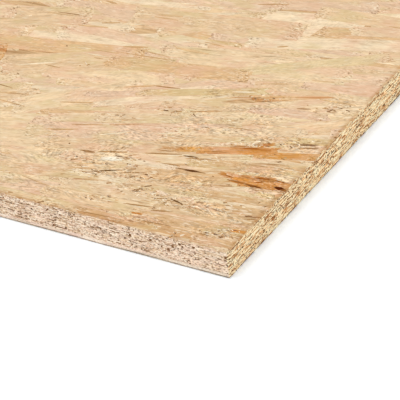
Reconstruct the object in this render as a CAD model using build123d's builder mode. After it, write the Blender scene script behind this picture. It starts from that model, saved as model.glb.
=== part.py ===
"""One full sheet of oriented strand board, as it comes off the press and the panel saw.

Long thin wood strands are laid in three layers and pressed with resin into one solid sheet: the strands of
both outer layers lie along the sheet, those of the middle layer across it. The saw cuts all four sides square
and opens the gaps that were left in the mat. A gap is a wedge: a strand ends blunt, and the strand that lies
over it bends down past that end until it touches the strand below.

Frame: origin in the middle of the underside, +X along the sheet, +Y across it, +Z up. Millimetres.
"""

import os
from dataclasses import dataclass
from math import sqrt

from build123d import *

# The sheet
sheet_length = 2440.0
sheet_width = 1220.0
sheet_thickness = 18.0
arris_wear = 0.4  # what stacking and handling take off each sharp arris

# The strands, which give the gaps their height and their place in the thickness
strand_thickness = 0.75
outer_layer = 3.0  # each outer layer is pressed tight and shows no open gap
strands_at_widest = 2.0  # the tallest gap ends this many strands at once

# The gaps along a sawn side
gap_spacing = 26.0  # from one gap to the next, on average
gap_length_least = 4.0
gap_length_most = 13.0
gap_depth = 6.0  # how far a gap runs in from the sawn face
corner_margin = 14.0  # strands near a corner are sawn off short, so no gap is left there
strand_sag = 0.3  # height of the bent strand at the middle of a gap, as a share of the blunt end

# Steps with no common measure, so that no two sizes of a gap repeat together along a side
SPACING_STEP = (sqrt(5.0) - 1.0) / 2.0
LENGTH_STEP = sqrt(2.0) - 1.0
HEIGHT_STEP = sqrt(3.0) - 1.0
LEVEL_STEP = sqrt(7.0) - 2.0
LEAN_STEP = sqrt(11.0) - 3.0


@dataclass
class Gap:
    """A wedge on a sawn side, placed along the side and up its height."""

    blunt_end: float
    tip: float
    level: float
    height: float


def scattered(index, step, least, most):
    """The index-th of a row of numbers spread evenly, but in no visible order, from least to most."""
    return least + (most - least) * ((index * step) % 1.0)


def gaps_along(side_length, first_index):
    """The gaps of one sawn side, from its left end to its right."""
    gaps = []
    place = corner_margin
    while place + gap_length_most <= side_length - corner_margin:
        index = first_index + len(gaps)
        length = scattered(index, LENGTH_STEP, gap_length_least, gap_length_most)
        height = scattered(index, HEIGHT_STEP, strand_thickness, strands_at_widest * strand_thickness)
        level = scattered(index, LEVEL_STEP, outer_layer, sheet_thickness - outer_layer - height)
        ends = (place, place + length)
        if scattered(index, LEAN_STEP, 0.0, 1.0) < 0.5:
            ends = (place + length, place)
        gaps.append(Gap(ends[0], ends[1], level, height))
        mean_length = (gap_length_least + gap_length_most) / 2.0
        place += length + scattered(index, SPACING_STEP, 0.0, 2.0 * (gap_spacing - mean_length))
    return gaps


# Each sawn side as a plane, seen from outside, with its origin at the lower left corner
front_side = Plane(origin=(-sheet_length / 2, -sheet_width / 2, 0), x_dir=(1, 0, 0), z_dir=(0, -1, 0))
right_side = Plane(origin=(sheet_length / 2, -sheet_width / 2, 0), x_dir=(0, 1, 0), z_dir=(1, 0, 0))
back_side = Plane(origin=(sheet_length / 2, sheet_width / 2, 0), x_dir=(-1, 0, 0), z_dir=(0, 1, 0))
left_side = Plane(origin=(-sheet_length / 2, sheet_width / 2, 0), x_dir=(0, -1, 0), z_dir=(-1, 0, 0))
sawn_sides = [
    (front_side, sheet_length),
    (right_side, sheet_width),
    (back_side, sheet_length),
    (left_side, sheet_width),
]

with BuildPart() as osb_panel:
    # the pressed and sawn sheet
    with BuildSketch(Plane.XY):
        Rectangle(sheet_length, sheet_width)
    extrude(amount=sheet_thickness)

    # the worn arrises, along both faces and down the four corners
    chamfer(osb_panel.edges(), length=arris_wear)

    # the gaps that the saw opened, one side after another
    gap_count = 0
    for side, side_length in sawn_sides:
        gaps = gaps_along(side_length, gap_count + 1)
        gap_count += len(gaps)
        with BuildSketch(side):
            for gap in gaps:
                middle = (gap.blunt_end + gap.tip) / 2.0
                with BuildLine():
                    cut_strand = Line((gap.blunt_end, gap.level), (gap.blunt_end, gap.level + gap.height))
                    ThreePointArc(
                        cut_strand @ 1, (middle, gap.level + strand_sag * gap.height), (gap.tip, gap.level)
                    )
                    Line((gap.tip, gap.level), cut_strand @ 0)
                make_face()
        extrude(amount=-gap_depth, mode=Mode.SUBTRACT)

osb_panel.part.label = "osb_panel"

os.makedirs("parts", exist_ok=True)
export_step(osb_panel.part, "parts/osb_panel.step")

print("gaps in the sawn sides:", gap_count)
print("volume in cubic metres:", round(osb_panel.part.volume / 1e9, 6))
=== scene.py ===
"""Looks of one full sheet of oriented strand board, lying on a white floor with one corner to the camera.

Everything is in metres and in the frame of the CAD part: origin in the middle of the underside, +X along
the sheet, +Y across it, +Z up. The sheet is made as the press makes it, from inside out: the mat, the strands
of both faces, and the sections that the saw leaves on the four sides.
"""

import math

import bmesh
import bpy
import numpy as np
from mathutils import Matrix, Vector


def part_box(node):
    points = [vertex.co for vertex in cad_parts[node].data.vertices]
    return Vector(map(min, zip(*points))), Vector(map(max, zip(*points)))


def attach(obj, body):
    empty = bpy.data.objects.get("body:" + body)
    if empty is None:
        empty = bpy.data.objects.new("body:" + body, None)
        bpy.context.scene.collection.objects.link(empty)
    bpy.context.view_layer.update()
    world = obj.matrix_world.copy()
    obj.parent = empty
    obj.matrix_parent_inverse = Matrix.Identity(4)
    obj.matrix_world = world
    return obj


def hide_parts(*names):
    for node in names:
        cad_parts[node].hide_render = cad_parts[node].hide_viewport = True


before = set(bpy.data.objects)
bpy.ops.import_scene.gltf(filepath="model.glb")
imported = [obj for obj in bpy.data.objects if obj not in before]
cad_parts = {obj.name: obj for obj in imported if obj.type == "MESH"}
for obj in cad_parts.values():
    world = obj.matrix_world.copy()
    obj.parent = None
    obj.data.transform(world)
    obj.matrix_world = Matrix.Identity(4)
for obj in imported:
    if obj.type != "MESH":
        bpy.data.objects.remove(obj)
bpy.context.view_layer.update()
sheet_low, sheet_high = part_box("osb_panel")

# Camera
# A lens 1.3 metres away looks down on the sheet's right front corner. It is turned a little clockwise, as a
# camera held by hand is, and away from the corner until that stands where it does in the picture.
view_azimuth = math.radians(32.2)
view_elevation = math.radians(34.2)
view_roll = math.radians(-4.8)
view_distance = 1.3
picture_width = 400
picture_centre = Vector((picture_width / 2, picture_width / 2))
corner_in_picture = Vector((227.1, 252.9))
pixels_per_metre = 1750.0  # at the corner

camera_data = bpy.data.cameras.new("camera")
camera = bpy.data.objects.new("camera", camera_data)
bpy.context.scene.collection.objects.link(camera)
bpy.context.scene.camera = camera
camera_data.sensor_width = 36.0
camera_data.lens = camera_data.sensor_width * pixels_per_metre * view_distance / picture_width
camera_data.clip_start = 0.1
camera_data.clip_end = 200.0

backwards = Vector(
    (
        math.sin(view_azimuth) * math.cos(view_elevation),
        -math.cos(view_azimuth) * math.cos(view_elevation),
        math.sin(view_elevation),
    )
)
level_right = Vector((math.cos(view_azimuth), math.sin(view_azimuth), 0.0))
level_up = backwards.cross(level_right)
rightwards = math.cos(view_roll) * level_right + math.sin(view_roll) * level_up
upwards = backwards.cross(rightwards)
near_corner = Vector((sheet_high[0], sheet_low[1], sheet_high[2]))
camera_place = near_corner + backwards * view_distance
off_centre = (corner_in_picture - picture_centre) / (pixels_per_metre * view_distance)
camera_backwards = (backwards + rightwards * off_centre.x - upwards * off_centre.y).normalized()
camera_upwards = camera_backwards.cross(rightwards).normalized()
camera_rightwards = camera_upwards.cross(camera_backwards)
turned = Matrix((camera_rightwards, camera_upwards, camera_backwards)).transposed().to_4x4()
camera.matrix_world = Matrix.Translation(camera_place) @ turned


# Floor and light
# A plain white studio floor, and a plain white sky with two wide soft lamps: one high on the left, one low on
# the right that fills the sawn sides. Together they light the sheet at about 1, so that a colour renders as
# it is written.
def srgb(red, green, blue):
    """A colour given as 0 to 255 per channel, as the shaders take it."""
    channels = []
    for level in (red, green, blue):
        share = level / 255.0
        channels.append(share / 12.92 if share <= 0.04045 else ((share + 0.055) / 1.055) ** 2.4)
    return (*channels, 1.0)


class Wire:
    """A socket that carries one number. Arithmetic on it adds the Math nodes."""

    def __init__(self, tree, socket):
        self.tree = tree
        self.socket = socket

    def maths(self, operation, *numbers):
        """A Math node whose first number is this one."""
        sockets = dict(enumerate((self, *numbers)))
        return node(self.tree, "ShaderNodeMath", {"operation": operation}, sockets)

    def __add__(self, other):
        return self.maths("ADD", other)

    __radd__ = __add__

    def __mul__(self, other):
        return self.maths("MULTIPLY", other)

    __rmul__ = __mul__

    def __truediv__(self, other):
        return self.maths("DIVIDE", other)

    def __sub__(self, other):
        return self.maths("SUBTRACT", other)

    def __rsub__(self, other):
        return (self * -1.0) + other

    def __abs__(self):
        return self.maths("ABSOLUTE")

    def __pow__(self, power):
        return self.maths("POWER", power)

    def rising(self, low, high):
        """0 below low, 1 above high, and smooth between; falling where low is the larger."""
        return node(
            self.tree,
            "ShaderNodeMapRange",
            {"interpolation_type": "SMOOTHSTEP"},
            {"Value": self, "From Min": low, "From Max": high},
        )


def node(tree, kind, settings, sockets, output=0):
    """Adds one node: its settings first, then its sockets' values or links. Returns one of its outputs."""
    made = tree.nodes.new(kind)
    for name, setting in settings.items():
        setattr(made, name, setting)
    for name, value in sockets.items():
        if isinstance(value, Wire):
            tree.links.new(value.socket, made.inputs[name])
        else:
            made.inputs[name].default_value = value
    return Wire(tree, made.outputs[output])


def new_material(name):
    """An empty material and the Principled shader at its end."""
    material = bpy.data.materials.new(name)
    material.use_nodes = True
    return material, material.node_tree, material.node_tree.nodes["Principled BSDF"]


def seen_directly(tree):
    """1 for what the camera sees, also in a mirror or through glass, and 0 for light that falls on things."""
    by_camera = node(tree, "ShaderNodeLightPath", {}, {}, "Is Camera Ray")
    mirrored = node(tree, "ShaderNodeLightPath", {}, {}, "Is Glossy Ray")
    through_glass = node(tree, "ShaderNodeLightPath", {}, {}, "Is Transmission Ray")
    return by_camera.maths("MAXIMUM", mirrored).maths("MAXIMUM", through_glass)


floor_half = 150.0
floor_white = 0.97  # share of the light that it throws back
# the camera sees it whiter than that, so that only the shadow by the sheet stays below white
seen_whiter = {"Red": 0.10, "Green": 0.17, "Blue": 0.23}

bpy.ops.object.select_all(action="DESELECT")
bpy.ops.mesh.primitive_plane_add(size=2.0 * floor_half, location=(0.0, 0.0, 0.0))
floor = bpy.context.object
floor.name = "studio_floor"
floor_material, floor_tree, floor_shader = new_material("studio_floor")
floor_shader.inputs["Roughness"].default_value = 0.9
floor_shader.inputs["Specular IOR Level"].default_value = 0.0
seen = seen_directly(floor_tree)
floor_channels = {channel: seen * more + floor_white for channel, more in seen_whiter.items()}
floor_colour = node(floor_tree, "ShaderNodeCombineColor", {}, floor_channels)
floor_tree.links.new(floor_colour.socket, floor_shader.inputs["Base Color"])
floor.data.materials.append(floor_material)

sky_strength = 0.7  # on the sheet; the camera sees it as 1
lamps = [  # name, strength on a surface that faces it, azimuth from +X to +Y, elevation, width in degrees
    ("high_lamp", 0.95, 205.0, 74.0, 36.0),
    ("low_lamp", 0.74, 334.0, 14.0, 60.0),
]

sky = bpy.data.worlds.new("studio_sky")
sky.use_nodes = True
bpy.context.scene.world = sky
sky_shader = sky.node_tree.nodes["Background"]
sky_shader.inputs["Color"].default_value = (1.0, 1.0, 1.0, 1.0)
sky_level = seen_directly(sky.node_tree) * (1.0 - sky_strength) + sky_strength
sky.node_tree.links.new(sky_level.socket, sky_shader.inputs["Strength"])

for lamp_name, strength, azimuth, elevation, width in lamps:
    lamp_data = bpy.data.lights.new(lamp_name, "SUN")
    lamp_data.energy = strength
    lamp_data.angle = math.radians(width)
    lamp = bpy.data.objects.new(lamp_name, lamp_data)
    bpy.context.scene.collection.objects.link(lamp)
    level_share = math.cos(math.radians(elevation))
    towards_lamp = Vector(
        (
            math.cos(math.radians(azimuth)) * level_share,
            math.sin(math.radians(azimuth)) * level_share,
            math.sin(math.radians(elevation)),
        )
    )
    lamp.rotation_euler = towards_lamp.to_track_quat("Z", "Y").to_euler()

bpy.context.scene.view_settings.view_transform = "Standard"

# The mat inside
# Behind the strands that show is the pressed mat itself: a copy of the CAD sheet, a little smaller all round,
# with the open gaps of the sawn sides. Its dark brown is painted shade, as deep in the gaps between strands,
# and it shows only through those gaps.
MM = 0.001
mat_inset = 0.6 * MM  # from the sheet's surface to the mat
tile_columns = 4
tile_rows = 2
sheet_extent = Vector(sheet_high) - Vector(sheet_low)
tile_size = np.array([sheet_extent.x / tile_columns, sheet_extent.y / tile_rows])

mat_material, _, mat_shader = new_material("pressed_mat")
# painted shade: the mat's dark brown stands for the shade deep in the gaps
mat_shader.inputs["Base Color"].default_value = srgb(140, 100, 64)
mat_shader.inputs["Roughness"].default_value = 0.9
mat_shader.inputs["Specular IOR Level"].default_value = 0.2


def parts(vector):
    """The three numbers of a vector."""
    split = node(vector.tree, "ShaderNodeSeparateXYZ", {}, {"Vector": vector}).socket.node
    return [Wire(vector.tree, output) for output in split.outputs]


def place_on_sheet(tree):
    """The three numbers of the place that is shaded, in metres."""
    return parts(node(tree, "ShaderNodeTexCoord", {}, {}, "Object"))


def noise(x, y, z, detail=2.0, roughness=0.5):
    """Noise from 0 to 1 at a place whose three numbers are already scaled."""
    place = node(x.tree, "ShaderNodeCombineXYZ", {}, {"X": x, "Y": y, "Z": z})
    sockets = {"Vector": place, "Scale": 1.0, "Detail": detail, "Roughness": roughness}
    return node(x.tree, "ShaderNodeTexNoise", {}, sockets, "Fac")


def mixed(factor, under, over, blend_type="MIX"):
    """Lays one colour over another."""
    tree = next(part.tree for part in (factor, under, over) if isinstance(part, Wire))
    settings = {"data_type": "RGBA", "blend_type": blend_type}
    return node(tree, "ShaderNodeMix", settings, {0: factor, 6: under, 7: over}, 2)


# towards both faces it is more strands, in the shade of those above them
shaded_material, shaded_tree, shaded_shader = new_material("shaded_strands")
x, y, z = place_on_sheet(shaded_tree)
grain = noise(x * 18.0, y * 420.0, z, 3.0)
shaded_colour = mixed(grain.rising(0.3, 0.7), srgb(176, 136, 92), srgb(222, 186, 140))
shaded_tree.links.new(shaded_colour.socket, shaded_shader.inputs["Base Color"])
shaded_shader.inputs["Roughness"].default_value = 0.8
shaded_shader.inputs["Specular IOR Level"].default_value = 0.2

cad_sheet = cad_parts["osb_panel"]
sheet_middle = (Vector(sheet_low) + Vector(sheet_high)) / 2
shrink = Matrix.Diagonal([(extent - 2 * mat_inset) / extent for extent in sheet_extent]).to_4x4()
mat_mesh = bmesh.new()
mat_mesh.from_mesh(cad_sheet.data)
bmesh.ops.remove_doubles(mat_mesh, verts=mat_mesh.verts, dist=1e-6)
bmesh.ops.dissolve_limit(mat_mesh, angle_limit=0.01, verts=mat_mesh.verts, edges=mat_mesh.edges)
for face in mat_mesh.faces:
    face.smooth = False
mat_mesh.transform(Matrix.Translation(sheet_middle) @ shrink @ Matrix.Translation(-sheet_middle))

for column in range(tile_columns):
    for row in range(tile_rows):
        block_mesh = mat_mesh.copy()
        low_x, low_y = np.array(sheet_low[:2]) + tile_size * (column, row)
        high_x, high_y = np.array(sheet_low[:2]) + tile_size * (column + 1, row + 1)
        cuts = [  # a point of the cut, the way out of the block, and whether the sheet goes on past it
            (Vector((low_x, 0, 0)), Vector((-1, 0, 0)), column > 0),
            (Vector((high_x, 0, 0)), Vector((1, 0, 0)), column < tile_columns - 1),
            (Vector((0, low_y, 0)), Vector((0, -1, 0)), row > 0),
            (Vector((0, high_y, 0)), Vector((0, 1, 0)), row < tile_rows - 1),
        ]
        for through, outward, sheet_goes_on in cuts:
            if sheet_goes_on:
                everything = block_mesh.verts[:] + block_mesh.edges[:] + block_mesh.faces[:]
                cut = bmesh.ops.bisect_plane(
                    block_mesh, geom=everything, plane_co=through, plane_no=outward, clear_outer=True
                )
                rim = [part for part in cut["geom_cut"] if isinstance(part, bmesh.types.BMEdge)]
                bmesh.ops.edgeloop_fill(block_mesh, edges=rim)
        block_data = bpy.data.meshes.new(f"mat_{column + 1}{row + 1}")
        block_mesh.to_mesh(block_data)
        block_mesh.free()
        # the normals that the CAD mesh came with don't fit a cut block
        if "custom_normal" in block_data.attributes:
            block_data.attributes.remove(block_data.attributes["custom_normal"])
        block = bpy.data.objects.new(f"mat_{column + 1}{row + 1}", block_data)
        bpy.context.scene.collection.objects.link(block)
        block_data.materials.clear()
        block_data.materials.append(mat_material)
        block_data.materials.append(shaded_material)
        for face in block_data.polygons:
            face.material_index = int(abs(face.normal.z) > 0.9)
        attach(block, "root")
        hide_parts("osb_panel")
mat_mesh.free()


# Strands of the two faces
# Flakes of softwood, 7 to 13 cm long and sliced along the grain, broken off at both ends. They lie mostly
# along the sheet, one over another like leaves, with splinters and crumbs between them. Resin and the press
# make them one face.
level_step = 0.0155 * MM  # crossing strands lie at least this much above each other
strand_levels = 17  # set aside for the scattered strands, and below for the other kinds of flake
hand_laid_levels = 10
splinter_levels = 4
crumb_levels = 6  # crumbs rise one higher where they lie thickest
face_relief = level_step * (strand_levels + hand_laid_levels + splinter_levels + crumb_levels)
swell = 0.3 * MM  # how far the highest strands of the upper face stand over the sheet's measured thickness
skirt_depth = 0.5 * MM  # how far a strand's sides reach down into the mat
skirt_flare = 0.1 * MM  # how far they lean out
arris_wear = 0.4 * MM  # as on the CAD sheet


def modelled_shape(name, cells_along, cells_across):
    """A flat blade from -1 to 1 with its border turned down, as its corners and four-cornered faces."""
    bpy.ops.object.select_all(action="DESELECT")
    bpy.ops.mesh.primitive_grid_add(x_subdivisions=cells_along, y_subdivisions=cells_across, size=2.0)
    shape = bpy.context.object
    shape.name = name
    bpy.ops.object.mode_set(mode="EDIT")
    bpy.ops.mesh.select_all(action="SELECT")
    bpy.ops.mesh.region_to_loop()
    bpy.ops.mesh.extrude_edges_move(TRANSFORM_OT_translate={"value": (0.0, 0.0, -1.0)})
    bpy.ops.object.mode_set(mode="OBJECT")
    corners = np.array([vertex.co[:] for vertex in shape.data.vertices])
    faces = np.array([polygon.vertices[:] for polygon in shape.data.polygons])
    bpy.data.objects.remove(shape)
    return corners, faces


strand_shape = modelled_shape("strand_shape", 1, 3)
splinter_shape = modelled_shape("splinter_shape", 2, 1)
crumb_shape = modelled_shape("crumb_shape", 1, 1)

strand_tints = [  # colour, share of the strands
    (srgb(236, 212, 177), 0.13),  # pale cream
    (srgb(231, 203, 164), 0.29),  # straw
    (srgb(227, 195, 155), 0.31),  # tan
    (srgb(228, 195, 162), 0.13),  # pinkish
    (srgb(225, 200, 156), 0.07),  # yellow-green
    (srgb(219, 181, 136), 0.06),  # tan-brown
    (srgb(216, 170, 118), 0.01),  # heartwood
]
splinter_tints = [
    (srgb(244, 224, 190), 0.32),
    (srgb(222, 188, 142), 0.34),
    (srgb(206, 168, 122), 0.29),
    (srgb(168, 126, 84), 0.05),
]
crumb_tints = [
    (srgb(250, 234, 206), 0.46),
    (srgb(226, 194, 150), 0.18),
    (srgb(190, 150, 104), 0.23),
    (srgb(122, 86, 50), 0.13),
]


def pick_tints(tints, count, draw, spread=0.03):
    """One colour for each piece, drawn by the colours' shares and made a little lighter or darker."""
    shares = np.array([share for _, share in tints])
    colours = np.array([colour[:3] for colour, _ in tints])
    picked = colours[draw.choice(len(tints), count, p=shares / shares.sum())]
    return picked * draw.normal(1.0, spread, (count, 1)).clip(0.85, 1.1)


def smooth_hills(x, y, seed, size):
    """Gentle hills from about -1 to 1, about as wide as size."""
    draw = np.random.default_rng(seed)
    waves, usual_height = 6, 3.2
    height = np.zeros_like(x)
    for _ in range(waves):
        direction = draw.uniform(0.0, 2.0 * math.pi)
        pitch = 2.0 * math.pi / (size * draw.uniform(1.6, 3.4))
        height += np.sin((x * math.cos(direction) + y * math.sin(direction)) * pitch + draw.uniform(0.0, 6.3))
    return height / usual_height


mean_lie = 5.0  # degrees between the strands and the sheet's length
lie_drift = 9.0
drift_width = 0.25
corner_lie = 17.0  # how much more askew they lie around the right front corner
corner_reach = 0.36
straight_by_front = 0.07  # the strands turn askew over this much of the width


def lie_of_strands(x, y, seed):
    """The mean angle between the strands and the sheet's length, which drifts from place to place."""
    from_corner = np.hypot(sheet_high[0] - x, y - sheet_low[1])
    past_front = np.clip((y - sheet_low[1]) / straight_by_front, 0.0, 1.0)
    askew = np.exp(-((from_corner / corner_reach) ** 2)) * past_front
    drift = lie_drift * smooth_hills(x, y, seed + 1, drift_width)
    return np.radians(mean_lie + drift * (1.0 - askew) + corner_lie * askew)


def scattered_strands(seed):
    """The strands of one face, on a loose lattice so that they cover it all over."""
    draw = np.random.default_rng(seed)
    spacing_along, spacing_across = 0.046, 0.0098
    margin = 0.06  # past the sheet's sides, where the saw takes them off
    columns = int((sheet_extent.x + 2 * margin) / spacing_along)
    rows = int((sheet_extent.y + margin) / spacing_across)
    column, row = [index.ravel() for index in np.meshgrid(np.arange(columns), np.arange(rows), indexing="ij")]
    count = len(column)
    x = sheet_low[0] - margin + (column + row % 2 / 2 + draw.uniform(0.0, 1.0, count)) * spacing_along
    y = sheet_low[1] - margin / 2 + (row + draw.uniform(0.0, 1.0, count)) * spacing_across
    order = draw.permutation(count)
    x, y = x[order], y[order]
    return {
        "x": x,
        "y": y,
        "angle": lie_of_strands(x, y, seed) + draw.normal(0.0, math.radians(9.0), count),
        "length": draw.uniform(0.075, 0.13, count),
        "width": np.clip(draw.gamma(8.0, 0.0024, count), 0.009, 0.034),
        "tint": pick_tints(strand_tints, count, draw, 0.022),
        "marks": np.stack(
            [
                draw.uniform(0.1, 1.0, count) ** 1.5,  # growth rings
                np.where(draw.random(count) < 0.02, draw.uniform(0.2, 0.6, count), 0.0),  # resin
                np.where(draw.random(count) < 0.2, draw.uniform(0.3, 1.0, count), 0.0),  # cracks
            ],
            1,
        ),
    }


# strands near the right front corner, in millimetres and degrees: how far from the corner along the sheet,
# how far in from its front, angle, length, width, colour, and how strongly rings, resin and cracks show
cream, straw, tan, rosy = srgb(236, 213, 180), srgb(228, 199, 161), srgb(222, 190, 150), srgb(224, 190, 159)
dun, green_straw, tan_brown = srgb(213, 177, 133), srgb(216, 186, 138), srgb(210, 169, 124)
golden, orange, tawny, rust = srgb(211, 155, 85), srgb(215, 146, 72), srgb(203, 136, 60), srgb(170, 97, 6)
salmon, bark, pale = srgb(224, 165, 114), srgb(98, 58, 22), srgb(240, 226, 200)
hand_laid = [
    (140, 35, 15, 104, 18, tan, 0.6, 0.0, 0.6),
    (106, 41, 2, 57, 9, cream, 0.3, 0.0, 0.4),
    (88, 29, 6, 94, 14, straw, 0.7, 0.0, 0.8),
    (35, 17, 5, 85, 13, dun, 0.5, 0.0, 0.5),
    (30, 30, 4, 74, 16, srgb(217, 185, 144), 0.5, 0.0, 0.7),
    (54, 49, 12, 88, 16, tan, 0.5, 0.0, 0.5),
    (17, 41, 11, 64, 12, dun, 0.4, 0.0, 0.3),
    (127, 74, 19, 94, 17, tan, 0.5, 0.0, 0.6),
    (26, 51.5, 8, 72, 10.5, dun, 0.3, 0.0, 0.3),
    (29, 57.5, 4, 32, 6, straw, 0.2, 0.0, 0.2),
    (6, 62, 6, 20, 7.5, green_straw, 0.2, 0.0, 0.2),
    (82, 87, 21, 93, 14, tan, 0.6, 0.0, 0.5),
    (30, 86, 13, 85, 14, dun, 0.5, 0.0, 0.2),
    (13.5, 93, 17, 55, 9, dun, 0.4, 0.0, 0.2),
    (142, 103, 23, 85, 15, straw, 0.3, 0.0, 0.3),
    (111, 113, 22, 90, 13, straw, 0.3, 0.0, 0.3),
    (96, 64, 7, 48, 8, cream, 0.3, 0.0, 0.6),
    (57, 119, 21, 84, 13, straw, 0.3, 0.0, 0.3),
    (21, 123, 19, 65, 11, green_straw, 0.3, 0.0, 0.2),
    (139, 136, 24, 82, 10.5, rosy, 0.4, 0.0, 0.2),
    (103, 153, 24, 91, 11.5, green_straw, 0.2, 0.0, 0.2),
    (40, 151, 10, 57, 13, rosy, 0.3, 0.0, 0.2),
    (68, 105.5, 21, 76, 10, tan, 0.4, 0.0, 0.3),
    (64, 5.5, 2, 93, 9.5, tan_brown, 0.9, 0.1, 0.2),
    (34, 8, 2, 46, 7.5, tan_brown, 0.6, 0.0, 0.2),
    (9.5, 7, 6, 40, 10, dun, 0.5, 0.0, 0.3),
    (115.5, 60.4, 20, 15, 5.4, pale, 0.2, 0.0, 0.4),
    (72, 90.5, 20, 52, 9, tan_brown, 0.7, 0.15, 0.4),
    (64.5, 93.5, 20, 46, 8.5, golden, 0.7, 0.35, 0.4),
    (17.5, 105.5, 18, 42, 10.5, golden, 0.7, 0.3, 0.3),
    (47.5, 99.5, 21, 55, 11.5, orange, 0.7, 0.4, 0.3),
    (42, 103, 17, 27, 5.5, tawny, 0.6, 0.5, 0.5),
    (35.5, 111.5, 39, 12, 4.2, tawny, 0.6, 0.4, 0.5),
    (37, 72, -7, 21, 4.5, golden, 0.7, 0.5, 0.5),
    (29, 72, -4, 28, 8, salmon, 0.7, 0.2, 0.5),
    (6.5, 73.5, 9, 24, 11.5, salmon, 0.9, 0.4, 0.4),
    (18, 69.5, 9, 25, 7.5, orange, 0.8, 0.5, 0.5),
    (22, 76, 14, 25, 7.0, rust, 0.8, 0.5, 0.6),
    (25.5, 68, 1, 26, 2.7, rust, 0.6, 0.6, 0.6),
    (30.5, 71.5, 7, 13, 4, orange, 0.2, 0.1, 0.2),
    (4, 22, 8, 12, 4, orange, 0.4, 0.5, 0.3),
    (0.5, 65.5, 37, 8, 3.6, rosy, 0.2, 0.3, 0.2),
    (69.5, 14.5, 6, 8, 2.1, rust, 0.1, 0.7, 0.0),
]
# dark lines, knots and light wisps there: place, angle, length and width as above, and colour
brown, dark_brown = srgb(172, 130, 82), srgb(116, 82, 44)
hand_laid_splinters = [
    (32.3, 68, -1, 14, 1.3, srgb(158, 102, 50)),
    (20, 67.5, 2, 14, 1.8, srgb(118, 68, 24)),
    (19, 77, 12, 12, 1.8, srgb(140, 78, 20)),
    (10.5, 78.5, 0, 17, 1.1, srgb(166, 108, 52)),
    (19.2, 72.6, 31, 7, 1.5, srgb(156, 90, 30)),
    (4.4, 71.5, 0, 9, 3.4, srgb(88, 34, 0)),
    (1.0, 71, 10, 6.5, 1.9, srgb(124, 66, 14)),
    (39, 71.5, -6, 8.5, 1.4, srgb(160, 100, 38)),
    (42, 104.6, 16, 14, 2.1, srgb(170, 98, 36)),
    (49, 104.5, 21, 13, 1.3, srgb(188, 124, 62)),
    (35.5, 112, 43, 8, 2.1, srgb(190, 122, 68)),
    (59.5, 93, 16, 15, 1.1, srgb(180, 126, 70)),
    (12.7, 121.7, 21, 15, 1.2, dark_brown),
    (9, 119, 19, 11, 0.9, brown),
    (64.5, 68, 5, 22, 1.3, srgb(146, 108, 62)),
    (63, 68, 8, 12, 1.8, bark),
    (71.7, 81.8, 8, 10.5, 1.3, dark_brown),
    (89, 81.7, 12, 9.5, 1.0, brown),
    (79.3, 69, 8, 14, 0.9, brown),
    (112.3, 47, 29, 24, 1.3, dark_brown),
    (96, 51.7, 25, 16.5, 0.9, brown),
    (54.7, 35, -14, 13, 1.4, dark_brown),
    (43, 33.3, -9, 12, 0.9, brown),
    (64, 33.5, 6, 15, 1.0, brown),
    (56.7, 22.6, 16, 15.5, 1.0, brown),
    (73.5, 22.3, 10, 18.5, 1.0, brown),
    (23.6, 39, 13, 8, 1.0, brown),
    (17.6, 37, 20, 9, 0.8, tan_brown),
    (7.2, 38, 16, 4.5, 1.5, dark_brown),
    (4.7, 35.5, 17, 10, 1.0, brown),
    (20.5, 12, -52, 4.5, 1.3, bark),
    (15.6, 14, 8, 2.7, 1.5, bark),
    (7.6, 21.7, 12, 5.5, 1.2, srgb(134, 78, 40)),
    (115.3, 60.4, 14, 14, 5.2, srgb(228, 218, 196)),
    (35, 33.8, -10, 17.5, 1.5, cream),
    (67, 39.5, -12, 11, 3.2, srgb(234, 208, 178)),
    (113, 64.6, 8, 5, 1.2, bark),
    (22.5, 42.2, 6, 7.5, 1.2, cream),
    (60, 55.6, 10, 7.5, 1.1, cream),
    (119.7, 67.5, 19, 20.5, 1.0, brown),
    (89, 78, 19, 24, 0.9, brown),
    (64.3, 81.7, 15, 20.5, 0.8, brown),
    (22, 93.5, 17, 22, 0.7, brown),
    (116.5, 41.2, -10, 5, 1.5, bark),
    (152, 89, 21, 21, 0.9, tan_brown),
    (128.5, 99.3, 24, 22.5, 0.9, tan_brown),
    (144, 144, 27, 24.5, 1.2, tan_brown),
    (128, 149, 11, 17.5, 0.9, brown),
    (90, 132.5, 25, 20.5, 0.9, tan_brown),
    (75, 157.5, 21, 19, 1.0, tan_brown),
    (91, 3.7, 5, 22.5, 0.8, brown),
    (53.7, 9.8, 6, 20.5, 0.8, brown),
]
crumbly_places = [  # where strands broke up: place, reach along and across the strands, crumbs
    (106, 65, 7, 4, 34),
    (101, 59, 6, 5, 22),
    (117.5, 41.5, 8, 4, 34),
    (73, 36.5, 9, 4, 36),
    (62, 34.5, 9, 4, 42),
    (50, 31.5, 9, 4, 38),
    (82, 36, 15, 7, 42),
    (44, 111, 13, 5, 54),
    (21, 119, 11, 5, 28),
    (10, 17, 8, 7, 42),
    (34, 3, 6, 4, 22),
    (20, 13, 5, 3, 16),
    (92, 48, 17, 7, 42),
    (131, 54, 13, 7, 32),
    (138, 105, 10, 5, 20),
    (111, 124, 10, 5, 20),
    (83, 112, 8, 5, 16),
    (59, 83, 11, 4, 16),
    (35, 40, 15, 7, 36),
    (17, 41, 13, 7, 28),
    (101, 19, 13, 5, 28),
    (63, 161, 10, 5, 16),
    (18, 165, 11, 6, 26),
]


def by_hand(rows):
    """Listed rows, with their place measured from the right front corner, as arrays."""
    no_marks = (0.0, 0.0, 0.0)
    places = np.array([row[:5] for row in rows], dtype=float)
    return {
        "x": sheet_high[0] - places[:, 0] * MM,
        "y": sheet_low[1] + places[:, 1] * MM,
        "angle": np.radians(places[:, 2]),
        "length": places[:, 3] * MM,
        "width": places[:, 4] * MM,
        "tint": np.array([row[5][:3] for row in rows]),
        "marks": np.array([row[6:] or no_marks for row in rows], dtype=float),
    }


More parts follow.
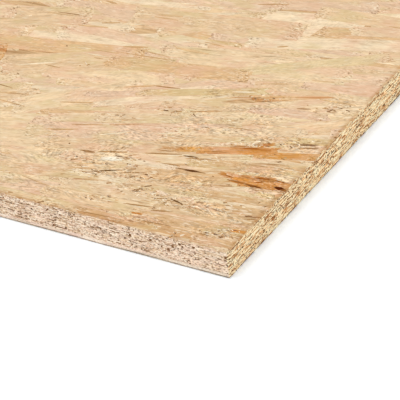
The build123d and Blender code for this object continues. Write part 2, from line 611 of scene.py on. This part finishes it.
def scattered_splinters(seed):
    """Thin splinters between the strands, more or less along them."""
    draw = np.random.default_rng(seed + 7)
    count = 3000
    x = draw.uniform(sheet_low[0], sheet_high[0], count)
    y = draw.uniform(sheet_low[1], sheet_high[1], count)
    return {
        "x": x,
        "y": y,
        "angle": lie_of_strands(x, y, seed) + draw.normal(0.0, math.radians(9.0), count),
        "length": np.clip(draw.gamma(4.0, 0.0045, count), 0.005, 0.045),
        "width": np.clip(draw.gamma(4.0, 0.0003, count), 0.0006, 0.0028),
        "tint": pick_tints(splinter_tints, count, draw),
        "marks": np.zeros((count, 3)),
    }


def crumbs(seed, places):
    """Small crumbs of wood and bark, in patches, loose all over, and where the saw chipped the arrises."""
    draw = np.random.default_rng(seed + 9)
    patch_count, loose_count = 420, 1500
    chips = {"long side": 500, "short side": 250}
    chipped_width = 1.6 * MM
    patches = []
    for along, inwards, reach_along, reach_across, amount in places:
        place = sheet_high[0] - along * MM, sheet_low[1] + inwards * MM
        patches.append((*place, reach_along * MM, reach_across * MM, amount))
    for _ in range(patch_count):
        place = draw.uniform(sheet_low[0], sheet_high[0]), draw.uniform(sheet_low[1], sheet_high[1])
        reach = draw.uniform(0.005, 0.022), draw.uniform(0.003, 0.008)
        patches.append((*place, *reach, draw.integers(4, 11)))
    x, y = [], []
    for middle_x, middle_y, reach_along, reach_across, amount in patches:
        lie = float(lie_of_strands(np.array(middle_x), np.array(middle_y), seed))
        along = draw.normal(0.0, reach_along / 2, amount)
        across = draw.normal(0.0, reach_across / 2, amount)
        x.extend(middle_x + along * math.cos(lie) - across * math.sin(lie))
        y.extend(middle_y + along * math.sin(lie) + across * math.cos(lie))
    x.extend(draw.uniform(sheet_low[0], sheet_high[0], loose_count))
    y.extend(draw.uniform(sheet_low[1], sheet_high[1], loose_count))
    for side in (sheet_low[1], sheet_high[1]):
        x.extend(draw.uniform(sheet_low[0], sheet_high[0], chips["long side"]))
        y.extend(side + draw.normal(0.0, chipped_width, chips["long side"]))
    for side in (sheet_low[0], sheet_high[0]):
        x.extend(side + draw.normal(0.0, chipped_width, chips["short side"]))
        y.extend(draw.uniform(sheet_low[1], sheet_high[1], chips["short side"]))
    x, y = np.array(x), np.array(y)
    count = len(x)
    return {
        "x": x,
        "y": y,
        "angle": lie_of_strands(x, y, seed) + draw.normal(0.0, math.radians(26.0), count),
        "length": np.clip(draw.gamma(4.0, 0.0005, count), 0.0007, 0.0045),
        "width": np.clip(draw.gamma(6.0, 0.0001, count), 0.0004, 0.0010),
        "tint": pick_tints(crumb_tints, count, draw, 0.06),
        "marks": np.zeros((count, 3)),
    }


def crossing(flakes, index):
    """Which of the flakes laid before this one lie across it or on it."""
    away_x = flakes["x"][:index] - flakes["x"][index]
    away_y = flakes["y"][:index] - flakes["y"][index]
    room = 0.01  # for their width
    reach = (flakes["length"][:index] + flakes["length"][index]) / 2 + room
    near = np.flatnonzero((np.abs(away_x) < reach) & (np.abs(away_y) < reach))
    away_x, away_y = away_x[near], away_y[near]
    own_angle, angles = flakes["angle"][index], flakes["angle"][near]
    turn_cos = np.abs(np.cos(angles - own_angle))
    turn_sin = np.abs(np.sin(angles - own_angle))
    own_length = flakes["length"][index] / 2 + skirt_flare
    own_width = flakes["width"][index] / 2 + skirt_flare
    lengths = flakes["length"][near] / 2 + skirt_flare
    widths = flakes["width"][near] / 2 + skirt_flare
    along_own = np.abs(away_x * math.cos(own_angle) + away_y * math.sin(own_angle))
    across_own = np.abs(away_y * math.cos(own_angle) - away_x * math.sin(own_angle))
    along_other = np.abs(away_x * np.cos(angles) + away_y * np.sin(angles))
    across_other = np.abs(away_y * np.cos(angles) - away_x * np.sin(angles))
    touching = (
        (along_own < own_length + lengths * turn_cos + widths * turn_sin)
        & (across_own < own_width + lengths * turn_sin + widths * turn_cos)
        & (along_other < lengths + own_length * turn_cos + own_width * turn_sin)
        & (across_other < widths + own_length * turn_sin + own_width * turn_cos)
    )
    return near[touching]


def laid(flakes, first_level, last_on_top=False):
    """Adds the level of each flake: free of all that it crosses, and over them where last_on_top."""
    count = len(flakes["x"])
    levels = np.zeros(count, dtype=int)
    for index in range(count):
        taken = set(levels[crossing(flakes, index)].tolist())
        level = max(taken) + 1 if last_on_top and taken else 0
        while level in taken:
            level += 1
        levels[index] = level
    return {**flakes, "level": levels + first_level}


def flake_corners(shape, flakes, end_width, broken_share, draw):
    """Where every flake's corners lie, with the top of the levels at 0, and what its material reads there."""
    count = len(flakes["x"])
    along, across, down = shape[0].T
    half_length = flakes["length"][:, None] / 2
    half_width = flakes["width"][:, None] / 2
    lanes = np.unique(np.round(across, 4))
    lane = np.searchsorted(lanes, np.round(across, 4))
    at_end = np.abs(along) > 0.99
    # each lane of a flake breaks off at its own length, and the lanes are not equally wide
    broken = draw.uniform(0.0, 1.0, (count, 2, len(lanes))) ** 1.6 * broken_share
    lane_shift = draw.uniform(-0.22, 0.22, (count, len(lanes)))
    lane_shift[:, [0, -1]] = 0.0
    kept = 1.0 - broken[:, (along > 0).astype(int), lane] * at_end
    u = along * half_length * kept
    v = (across + lane_shift[:, lane]) * half_width * (1.0 - (1.0 - end_width) * at_end)
    at_foot = down < -0.5
    flared_u = u + np.sign(along) * at_end * at_foot * skirt_flare
    flared_v = v + np.sign(across) * (np.abs(across) > 0.99) * at_foot * skirt_flare
    cosine = np.cos(flakes["angle"])[:, None]
    sine = np.sin(flakes["angle"])[:, None]
    x = flakes["x"][:, None] + flared_u * cosine - flared_v * sine
    y = flakes["y"][:, None] + flared_u * sine + flared_v * cosine
    height = (flakes["level"][:, None] + 1) * level_step - face_relief + down * skirt_depth
    seeds = draw.uniform(0.0, 50.0, (count, 1)) + 0.0 * u
    values = {
        "strand_place": np.stack([u, v, seeds], 2),
        "strand_size": np.stack([half_length + 0.0 * u, half_width + 0.0 * u, 0.0 * u], 2),
        "strand_tint": np.repeat(flakes["tint"][:, None], len(along), 1),
        "strand_marks": np.repeat(flakes["marks"][:, None], len(along), 1),
    }
    return np.stack([x, y, height], 2), values


def joined_mesh(name, lots):
    """One mesh of many copies of shapes. A lot: copies' corners, the shape's faces, the corners' values."""
    data = bpy.data.meshes.new(name)
    corners = np.concatenate([lot_corners.reshape(-1, 3) for lot_corners, _, _ in lots])
    faces = []
    first = 0
    for lot_corners, shape_faces, _ in lots:
        copies, per_copy = lot_corners.shape[:2]
        starts = first + per_copy * np.arange(copies)
        faces.extend((shape_faces + starts[:, None, None]).reshape(-1, 4).tolist())
        first += copies * per_copy
    data.from_pydata(corners.tolist(), [], faces)
    for value_name in lots[0][2]:
        values = np.concatenate([lot_values[value_name].reshape(-1, 3) for _, _, lot_values in lots])
        layer = data.attributes.new(value_name, "FLOAT_VECTOR", "POINT")
        layer.data.foreach_set("vector", values.astype(np.float32).ravel())
    return data


def attribute(tree, name):
    """The vector that the corners carry under a name."""
    return node(tree, "ShaderNodeAttribute", {"attribute_name": name}, {}, "Vector")


def tinted(colour, brightness):
    """A colour made lighter or darker."""
    channels = {"Red": brightness, "Green": brightness, "Blue": brightness}
    grey = node(colour.tree, "ShaderNodeCombineColor", {}, channels)
    return mixed(1.0, colour, grey, "MULTIPLY")


strand_material, strand_tree, strand_shader = new_material("pressed_strands")
u, v, seed = parts(attribute(strand_tree, "strand_place"))
half_length, half_width, _ = parts(attribute(strand_tree, "strand_size"))
rings, resin, cracks = parts(attribute(strand_tree, "strand_marks"))
colour = attribute(strand_tree, "strand_tint")

to_side = half_width - abs(v)
to_end = half_length - abs(u)
# a splinter is narrower than about 5 mm, and longer than a crumb
is_splinter = half_width.rising(2.9 * MM, 2.1 * MM) * half_length.rising(2.4 * MM, 3.2 * MM)
is_strand = 1.0 - is_splinter

# by the right front corner, where the sheet was handled, the fibres are raised
x, y, z = place_on_sheet(strand_tree)
from_corner = ((x - sheet_high[0]) ** 2.0 + (y - sheet_low[1]) ** 2.0) ** 0.5
raised = from_corner.rising(0.24, 0.09)
rough_patch = noise(x * 26.0, y * 44.0, 5.0, 1.0).rising(0.44, 0.62)

# the grain, which wanders a little
wander = noise(u * 14.0, v * 70.0, seed, 1.0) - 0.5
grain = v + wander * 0.006
fibres = noise(u * 130.0, grain * 900.0, seed + 3.0, 3.0, 0.65)
streaks = noise(u * 55.0, grain * 330.0, seed + 4.0, 2.0)
blotches = noise(u * 80.0, v * 150.0, seed + 7.0)
fallen_strokes = noise((u - v * 0.45) * 230.0, (v + u * 0.45) * 640.0, seed + 37.0, 1.0)
risen_strokes = noise((u + v * 1.3) * 170.0, (v - u * 1.3) * 430.0, seed + 38.0, 1.0)
risen_share = noise(x * 45.0, y * 60.0, 7.0, 1.0).rising(0.47, 0.55)
strokes = fallen_strokes * (1.0 - risen_share) + risen_strokes * risen_share
brightness = 1.008 + (fibres - 0.5) * (0.27 + raised * 0.17) + (streaks - 0.5) * (0.18 + raised * 0.12)
brightness = brightness + (blotches - 0.5) * 0.4
brightness = brightness + (strokes - 0.5) * (0.25 + rough_patch * (0.25 + raised * 1.65))
colour = tinted(colour, brightness)
pinkness = noise(u * 32.0, v * 60.0, seed + 31.0)
colour = mixed(pinkness.rising(0.52, 0.66) * is_strand * 0.5, colour, srgb(229, 185, 153))
colour = mixed(pinkness.rising(0.46, 0.34) * is_strand * 0.5, colour, srgb(218, 195, 145))
ring_noise = noise(u * 12.0, grain * 430.0, seed + 5.0, 1.0)
late_wood = ring_noise.rising(0.52, 0.68) * rings * is_strand
colour = mixed(late_wood * (0.18 + raised * 0.06), colour, srgb(196, 150, 98))
wisps = noise(u * 150.0, grain * 760.0, seed + 29.0, 1.0)
pale_wisps = wisps.rising(0.58, 0.68) * is_strand * (1.0 - resin)
colour = mixed(pale_wisps * (0.3 + raised * 0.15), colour, srgb(252, 238, 210))
dark_wisps = wisps.rising(0.4, 0.3) * is_strand
colour = mixed(dark_wisps * (0.25 + raised * 0.25), colour, srgb(186, 132, 74))

# resin, which soaks a strand's middle more than its sides, and cracks that run with the grain
soaked = (to_side / half_width).rising(0.0, 0.5) * to_end.rising(0.0, 13.0 * MM)
wide = half_width.rising(3.0 * MM, 5.0 * MM)
colour = mixed((1.0 - soaked) * (wide * 0.35 + 0.35) * resin.rising(0.1, 0.28), colour, srgb(217, 169, 112))
resin_cloud = noise(u * 26.0, grain * 210.0, seed + 11.0, 3.0) + resin * 0.16
colour = mixed(resin_cloud.rising(0.46, 0.62) * resin, colour, srgb(212, 142, 66))
colour = mixed(resin_cloud.rising(0.56, 0.7) * resin, colour, srgb(168, 94, 28))
dry_fibres = noise(u * 75.0, grain * 520.0, seed + 41.0, 2.0).rising(0.5, 0.64)
colour = mixed(dry_fibres * resin * is_strand * 0.45, colour, srgb(222, 162, 98))
crack_line = abs(noise(u * 9.0, grain * 260.0, seed + 13.0) - 0.5).rising(0.02, 0.006)
crack = crack_line * cracks * noise(u * 60.0, v * 30.0, seed + 17.0).rising(0.48, 0.58)
colour = mixed(crack * (0.5 + raised * 0.15), colour, srgb(140, 100, 62))

# a darker rim in places, paler tips on splinters, and ends that broke into short fibres, with the shade of
# small pits painted as dark specks
rim = to_side.rising(0.9 * MM, 0.1 * MM) * noise(u * 70.0, v * 40.0, seed + 19.0).rising(0.45, 0.62)
rim = rim * (0.3 + raised * 0.1 + resin * 0.6)
colour = mixed(rim, colour, srgb(156, 112, 68))
tip = (to_end / half_length).rising(0.4, 0.0)
colour = mixed(tip * is_splinter * 0.6, colour, srgb(216, 180, 134))
torn_end = to_end.rising(18.0 * MM, 4.0 * MM) * half_width.rising(2.0 * MM, 4.0 * MM)
torn_place = noise(u * 40.0, v * 130.0, seed + 21.0).rising(0.52, 0.66)
torn = torn_end.maths("MAXIMUM", torn_place * 0.45 + raised * rough_patch * 0.8)
speck_noise = noise((u - v * 0.3) * 420.0, (v + u * 0.3) * 760.0, seed + 23.0, 2.0, 0.65)
pit_shade_specks = speck_noise.rising(0.56, 0.66) * torn * is_strand
light_specks = speck_noise.rising(0.44, 0.34) * torn * is_strand * (1.0 - resin)
# painted shade: dark specks stand for the shade in small pits where the strands are torn
colour = mixed(pit_shade_specks * 0.7, colour, srgb(128, 88, 50))
colour = mixed(light_specks * 0.7, colour, srgb(253, 238, 210))

# both faces are browner within about 4 mm of the sawn sides, in patches, and the lower arris is painted dark
# as the shade where the sheet meets the floor
from_side = (sheet_high[0] - abs(x)).maths("MINIMUM", sheet_high[1] - abs(y))
browner_by_sides = from_side.rising(4.0 * MM, 1.0 * MM) * noise(x * 90.0, y * 90.0, 0.0).rising(0.3, 0.55)
colour = mixed(browner_by_sides * 0.5, colour, srgb(180, 128, 72))
facing = node(strand_tree, "ShaderNodeNewGeometry", {}, {}, "Normal")
on_arris = abs(parts(facing)[2]).rising(0.95, 0.8)
# painted shade: arris faces below about 1 mm are darkened where the sheet meets the floor
colour = mixed(z.rising(1.2 * MM, 0.8 * MM) * on_arris * 0.7, colour, srgb(110, 84, 56))
strand_tree.links.new(colour.socket, strand_shader.inputs["Base Color"])

roughness = 0.66 + (fibres - 0.5) * 0.2 - resin_cloud.rising(0.5, 0.7) * resin * 0.2
strand_tree.links.new(roughness.socket, strand_shader.inputs["Roughness"])
strand_shader.inputs["Specular IOR Level"].default_value = 0.02
relief = fibres * 0.6 - late_wood * 0.2 - crack - pit_shade_specks * 0.8 - rim * 0.4
bumped = node(strand_tree, "ShaderNodeBump", {}, {"Strength": 0.5, "Distance": 0.14 * MM, "Height": relief})
strand_tree.links.new(bumped.socket, strand_shader.inputs["Normal"])

side_cuts = [  # a point of the cut, and the way out of the sheet
    (Vector((sheet_high[0] - arris_wear, 0, 0)), Vector((1, 0, 0))),
    (Vector((sheet_low[0] + arris_wear, 0, 0)), Vector((-1, 0, 0))),
    (Vector((0, sheet_high[1] - arris_wear, 0)), Vector((0, 1, 0))),
    (Vector((0, sheet_low[1] + arris_wear, 0)), Vector((0, -1, 0))),
]


def saw_off(data, inwards):
    """Cuts a face's strands off at the sheet's sides and turns the cut ends down as the worn arris."""
    mesh = bmesh.new()
    mesh.from_mesh(data)
    for through, outward in side_cuts:
        everything = mesh.verts[:] + mesh.edges[:] + mesh.faces[:]
        cut = bmesh.ops.bisect_plane(
            mesh, geom=everything, plane_co=through, plane_no=outward, clear_outer=True
        )
        rim_edges = [part for part in cut["geom_cut"] if isinstance(part, bmesh.types.BMEdge)]
        if rim_edges:
            turned_down = bmesh.ops.extrude_edge_only(mesh, edges=rim_edges)["geom"]
            moved = [part for part in turned_down if isinstance(part, bmesh.types.BMVert)]
            turn = outward * arris_wear + Vector((0, 0, inwards * arris_wear))
            bmesh.ops.translate(mesh, verts=moved, vec=turn)
    # the highest strands last, so that a bake on the map below ends with those that show
    mesh.faces.sort(key=lambda face: -inwards * face.calc_center_median().z)
    mesh.to_mesh(data)
    mesh.free()


def map_from_above(data):
    """Lays out a tile's UV map as the sheet is seen from straight above, for a bake of its colours."""
    places = np.empty(3 * len(data.vertices), dtype=np.float32)
    data.vertices.foreach_get("co", places)
    level_places = places.reshape(-1, 3)[:, :2]
    low, high = level_places.min(0), level_places.max(0)
    vertex_of_corner = np.empty(len(data.loops), dtype=np.int32)
    data.loops.foreach_get("vertex_index", vertex_of_corner)
    shares = ((level_places - low) / (high - low))[vertex_of_corner]
    data.uv_layers.new(name="OFBake").uv.foreach_set("vector", shares.ravel())


def build_face(face_name, seed, surface, inwards, strands_by_hand, splinters_by_hand, crumbly):
    """Lays all flakes of one face and makes them one joined mesh for each tile of the sheet."""
    # shape, flakes, how wide their ends are, and how much of their length the ends may lose
    kinds = [(strand_shape, laid(scattered_strands(seed), 0), 0.78, 0.13)]
    first_level = strand_levels
    if strands_by_hand:
        placed_strands = laid(by_hand(strands_by_hand), first_level, last_on_top=True)
        kinds.append((strand_shape, placed_strands, 0.7, 0.2))
    first_level += hand_laid_levels
    splinters = scattered_splinters(seed)
    if splinters_by_hand:
        placed = by_hand(splinters_by_hand)
        splinters = {key: np.concatenate([placed[key], splinters[key]]) for key in placed}
    kinds.append((splinter_shape, laid(splinters, first_level), 0.25, 0.2))
    first_level += splinter_levels
    kinds.append((crumb_shape, laid(crumbs(seed, crumbly), first_level), 0.7, 0.35))

    draw = np.random.default_rng(seed + 50)
    made = []
    for shape, flakes, end_width, broken_share in kinds:
        corners, values = flake_corners(shape, flakes, end_width, broken_share, draw)
        corners[..., 2] = surface - inwards * corners[..., 2]
        faces = shape[1] if inwards < 0 else shape[1][:, ::-1]
        tile = ((np.stack([flakes["x"], flakes["y"]], 1) - sheet_low[:2]) / tile_size).astype(int)
        made.append((corners, faces, values, np.clip(tile, 0, (tile_columns - 1, tile_rows - 1))))
    for column in range(tile_columns):
        for row in range(tile_rows):
            lots = []
            for corners, faces, values, tile in made:
                here = (tile[:, 0] == column) & (tile[:, 1] == row)
                lots.append((corners[here], faces, {name: value[here] for name, value in values.items()}))
            name = f"{face_name}_strands_{column + 1}{row + 1}"
            data = joined_mesh(name, lots)
            saw_off(data, inwards)
            map_from_above(data)
            data.materials.append(strand_material)
            piece = bpy.data.objects.new(name, data)
            bpy.context.scene.collection.objects.link(piece)
            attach(piece, "root")
            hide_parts("osb_panel")


build_face("top", 101, sheet_high[2] + swell, -1.0, hand_laid, hand_laid_splinters, crumbly_places)
build_face("underside", 202, sheet_low[2], 1.0, [], [], [])

# Sawn sides
# The panel saw cuts through all layers, which the press left wavy. Along the front and the back it leaves
# short crumbly ends of strands, and along the two short sides longer streaks. A gap in the mat shows as a
# dark wedge.
section_wall = 0.55 * MM  # how far a section reaches in from the sawn face
section_recess = 0.16 * MM  # the deepest that the saw's teeth tore one out
wave_height = 0.45 * MM
end_clearance = 0.15 * MM
edge_clearance = 0.05 * MM  # from the lowest row to the floor, and from the highest to the upper face
smooth_height = 2.6 * MM  # of the tight lowest layers of the front and the back
shortest_section = 0.5 * MM
# lengths of sections: shape and scale of the gamma spread that they are drawn from
smooth_lengths = (5.0, 0.005)
crumbly_lengths = (3.2, 0.0013)
streaky_lengths = (3.2, 0.0017)

# the open gaps, placed as in the CAD part, in millimetres along each side from its left end
gap_spacing = 26.0
gap_length_least = 4.0
gap_length_most = 13.0
gap_height_least = 0.75
gap_height_most = 1.5
gap_level_least = 3.0
corner_margin = 14.0

pit_half_length = 0.9
pit_half_height = 0.7
pit_share = 0.13  # of the sections that have a small pit after them
# pits near the right front corner, given one by one: along the side from its left end, and height, in
# millimetres
pits_by_hand = {
    "front": [
        (2408, 15),
        (2417, 15.3),
        (2414, 10),
        (2400, 9.5),
        (2388, 12.5),
        (2374, 12.5),
        (2420, 8),
        (2403, 12.5),
        (2438.5, 14),
        (2438.5, 12),
    ],
    "right": [
        (97, 12.7),
        (87, 11.4),
        (73, 11),
        (66, 5.4),
        (43, 6.2),
        (26, 11),
        (83, 13),
        (56, 8.4),
        (1.5, 14.3),
        (1.8, 12.5),
    ],
}


def spread_out(index, step, least, most):
    """The index-th of a row of numbers spread evenly, but in no visible order, from least to most."""
    return least + (most - least) * ((index * step) % 1.0)


def open_gaps(side_length, thickness, first_index):
    """Blunt end, tip, level and height of each open gap of one side."""
    gaps = []
    place = corner_margin
    while place + gap_length_most <= side_length - corner_margin:
        index = first_index + len(gaps)
        length = spread_out(index, math.sqrt(2.0) - 1.0, gap_length_least, gap_length_most)
        height = spread_out(index, math.sqrt(3.0) - 1.0, gap_height_least, gap_height_most)
        level = spread_out(index, math.sqrt(7.0) - 2.0, gap_level_least, thickness - gap_level_least - height)
        leans_left = spread_out(index, math.sqrt(11.0) - 3.0, 0.0, 1.0) < 0.5
        blunt, tip = (place + length, place) if leans_left else (place, place + length)
        gaps.append((blunt, tip, level, height))
        spare = 2.0 * (gap_spacing - (gap_length_least + gap_length_most) / 2.0)
        place += length + spread_out(index, (math.sqrt(5.0) - 1.0) / 2.0, 0.0, spare)
    return gaps


section_shape = modelled_shape("section_shape", 1, 1)

crumbly_tints = [  # front and back: rosy
    (srgb(250, 226, 200), 0.28),
    (srgb(240, 210, 184), 0.32),
    (srgb(232, 201, 167), 0.22),
    (srgb(216, 180, 148), 0.13),
    (srgb(168, 132, 100), 0.05),
]
streaky_tints = [  # the short sides: yellower
    (srgb(255, 236, 192), 0.28),
    (srgb(255, 220, 166), 0.30),
    (srgb(246, 200, 144), 0.24),
    (srgb(222, 172, 114), 0.12),
    (srgb(166, 110, 58), 0.06),
]
smooth_tints = [  # the lowest layers, pressed tight
    (srgb(252, 236, 218), 0.4),
    (srgb(248, 222, 204), 0.3),
    (srgb(240, 222, 200), 0.3),
]
contact_shade_height = 0.8 * MM  # the lowest layers, painted darker as the shade where the sheet meets the floor
contact_shade_share = 0.5  # how light that painted shade leaves them
banding = 0.1  # how much lighter and darker the layers of a short side are by turns
banding_pitch = 6.3 * MM
lightest_layer = 13.2 * MM


def wave(along, level, thickness, phases):
    """How far the pressed layers rise or sink at a place on a side. The two faces stay flat."""
    rise = np.zeros_like(along)
    for pitch, phase, drift in phases:
        rise += np.sin(along * 2.0 * math.pi / pitch + phase + drift * level / thickness)
    return rise / math.sqrt(len(phases)) * wave_height * np.sin(math.pi * level / thickness)


def row_sections(side_length, low, high, lengths, gaps, pits, draw):
    """Start and end of each section of one row, with the row's open gaps and pits left out."""
    middle = (low + high) / 2.0
    blocked = []
    for blunt, tip, level, height in gaps:
        share = (middle / MM - level) / height
        if 0.0 < share < 1.0:
            reach = (1.0 - share**0.6) * (tip - blunt)
            blocked.append(sorted((blunt * MM, (blunt + reach) * MM)))
    for along, level in pits:
        if abs(middle / MM - level) < pit_half_height:
            blocked.append(((along - pit_half_length) * MM, (along + pit_half_length) * MM))
    spans = []
    place = end_clearance
    while place < side_length - 2.0 * MM:
        length = np.clip(draw.gamma(*lengths), 0.0022, 0.05)
        end = min(place + length, side_length - end_clearance)
        pieces = [(place, end)]
        for gap_start, gap_end in blocked:
            kept = []
            for start, stop in pieces:
                kept.append((start, min(stop, gap_start)))
                kept.append((max(start, gap_end), stop))
            pieces = [(start, stop) for start, stop in kept if stop - start > shortest_section]
        spans.extend(pieces)
        is_pit = draw.random() < pit_share
        place = end + (draw.uniform(0.5, 1.4) if is_pit else draw.uniform(-0.2, 0.1)) * MM
    return spans


section_material, section_tree, section_shader = new_material("sawn_sections")
along_section, up_section, seed = parts(attribute(section_tree, "strand_place"))
half_length, half_height, _ = parts(attribute(section_tree, "strand_size"))
crumbly, streaky, _ = parts(attribute(section_tree, "strand_marks"))
colour = attribute(section_tree, "strand_tint")
x, y, z = place_on_sheet(section_tree)
along_side = x + y

# broken pores, in clusters, with the shade in their pits painted dark
pores = noise(along_section * 560.0, up_section * 980.0, seed, 1.5, 0.6)
clusters = noise(along_side * 60.0, z * 90.0, 3.0, 1.0)
patches = noise(along_section * 45.0, up_section * 60.0, seed + 7.0, 1.0)
colour = tinted(colour, 1.0 + (pores - 0.5) * 1.6 * crumbly + (patches - 0.5) * 0.25)
colour = mixed(pores.rising(0.55, 0.63) * crumbly * 0.9, colour, srgb(255, 242, 218))
# painted shade: dark spots stand for the shade in the pits among broken pores
pore_pit_shade = (pores + (clusters - 0.5) * 0.3).rising(0.42, 0.33) * crumbly
colour = mixed(pore_pit_shade * 0.75, colour, srgb(118, 86, 56))

# cream and brown streaks that run over several sections
streaks = noise(along_side * 130.0, z * 900.0, 9.0, 1.5, 0.6)
colour = mixed(streaks.rising(0.5, 0.57) * streaky * 0.85, colour, srgb(255, 238, 196))
colour = mixed(streaks.rising(0.46, 0.38) * streaky * 0.8, colour, srgb(178, 112, 52))
specks = noise(along_side * 800.0, z * 800.0, 17.0, 1.0)
speck_clusters = noise(along_side * 50.0, z * 120.0, 19.0, 1.0)
specks = specks + (speck_clusters - 0.5) * 0.25
colour = mixed(specks.rising(0.595, 0.64) * streaky, colour, srgb(84, 46, 14))
rim = (half_height - abs(up_section)).rising(0.16 * MM, 0.0)
colour = mixed(rim * 0.2, colour, srgb(150, 108, 70))
section_tree.links.new(colour.socket, section_shader.inputs["Base Color"])
section_shader.inputs["Roughness"].default_value = 0.8
section_shader.inputs["Specular IOR Level"].default_value = 0.25
relief = pores - pore_pit_shade
bumped = node(section_tree, "ShaderNodeBump", {}, {"Strength": 0.6, "Distance": 0.15 * MM, "Height": relief})
section_tree.links.new(bumped.socket, section_shader.inputs["Normal"])

sheet_thickness = sheet_high[2] - sheet_low[2]
sawn_sides = [  # name, lower left corner seen from outside, way along the side, outwards, tiles, rows, long
    ("front", (sheet_low[0], sheet_low[1]), (1, 0), (0, -1), tile_columns, 19, True),
    ("right", (sheet_high[0], sheet_low[1]), (0, 1), (1, 0), tile_rows, 17, False),
    ("back", (sheet_high[0], sheet_high[1]), (-1, 0), (0, 1), tile_columns, 19, True),
    ("left", (sheet_low[0], sheet_high[1]), (0, -1), (-1, 0), tile_rows, 17, False),
]
first_gap = 1
for side_name, origin, run, outwards, tiles, row_count, is_long in sawn_sides:
    draw = np.random.default_rng(len(side_name) * 31 + first_gap)
    side_length = abs(run[0]) * sheet_extent.x + abs(run[1]) * sheet_extent.y
    # rounded to whole micrometres, so that the gaps fall as in the CAD part
    gaps = open_gaps(round(side_length / MM, 3), round(sheet_thickness / MM, 3), first_gap)
    first_gap += len(gaps)
    phases = [
        (draw.uniform(0.016, 0.055), draw.uniform(0.0, 6.3), draw.uniform(-2.5, 2.5)) for _ in range(5)
    ]
    pits = pits_by_hand.get(side_name, [])
    row_height = (sheet_thickness - 2.0 * edge_clearance) / row_count
    sections = []
    for row in range(row_count):
        low = edge_clearance + row_height * row
        high = low + row_height
        smooth = low < smooth_height and is_long
        lengths = crumbly_lengths if is_long else streaky_lengths
        lengths = smooth_lengths if smooth else lengths
        for start, end in row_sections(side_length, low, high, lengths, gaps, pits, draw):
            sections.append((start, end, low, high, float(smooth)))
    sections = np.array(sections)
    count = len(sections)
    tints = pick_tints(crumbly_tints if is_long else streaky_tints, count, draw, 0.05)
    tints = np.where(sections[:, 4:] > 0.5, pick_tints(smooth_tints, count, draw), tints)
    # painted shade: the lowest layers of every side are darkened where the sheet meets the floor
    tints[sections[:, 2] < contact_shade_height] *= contact_shade_share
    if not is_long:
        layer_turn = np.cos((sections[:, 2:3] - lightest_layer) / banding_pitch * 2.0 * math.pi)
        tints *= 1.0 + banding * layer_turn

    start, end, low, high, smooth = sections.T[:, :, None]
    across_u, across_v, inwards = section_shape[0].T
    along = start + (end - start) * (across_u + 1.0) / 2.0
    low_line = low + wave(along, low + 0.0 * along, sheet_thickness, phases)
    high_line = high + wave(along, high + 0.0 * along, sheet_thickness, phases)
    end_heights = draw.uniform(0.6, 1.3, (count, 2))
    kept = end_heights[:, (across_u > 0).astype(int)]
    slip = draw.uniform(-0.45, 0.45, (count, 2))[:, (across_u > 0).astype(int)] * (1.0 - smooth)
    level = (low_line + high_line) / 2 + (across_v * kept + slip) * (high_line - low_line) / 2
    level = np.clip(level, edge_clearance, sheet_thickness - edge_clearance)
    depth = draw.uniform(0.0, 1.0, (count, 1)) * section_recess - inwards * section_wall
    x = origin[0] + run[0] * along - outwards[0] * depth
    y = origin[1] + run[1] * along - outwards[1] * depth
    corners = np.stack([x, y, sheet_low[2] + level], 2)
    seeds = draw.uniform(0.0, 50.0, (count, 1)) + 0.0 * along
    half_height = (high - low) / 2.0
    crumbly_here = (1.0 - 0.75 * smooth) if is_long else 0.25
    streaky_here = 0.2 * smooth if is_long else 1.0
    values = {
        "strand_place": np.stack([along - (start + end) / 2, across_v * half_height + 0.0 * along, seeds], 2),
        "strand_size": np.stack([part + 0.0 * along for part in ((end - start) / 2, half_height, 0.0)], 2),
        "strand_marks": np.stack([part + 0.0 * along for part in (crumbly_here, streaky_here, 0.0)], 2),
        "strand_tint": np.repeat(tints[:, None], len(across_u), 1),
    }
    tile_of = np.clip((sections[:, :2].mean(1) / side_length * tiles).astype(int), 0, tiles - 1)
    for tile in range(tiles):
        here = tile_of == tile
        name = f"{side_name}_sections_{tile + 1}"
        values_here = {key: value[here] for key, value in values.items()}
        data = joined_mesh(name, [(corners[here], section_shape[1], values_here)])
        data.materials.append(section_material)
        piece = bpy.data.objects.new(name, data)
        bpy.context.scene.collection.objects.link(piece)
        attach(piece, "root")
        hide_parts("osb_panel")
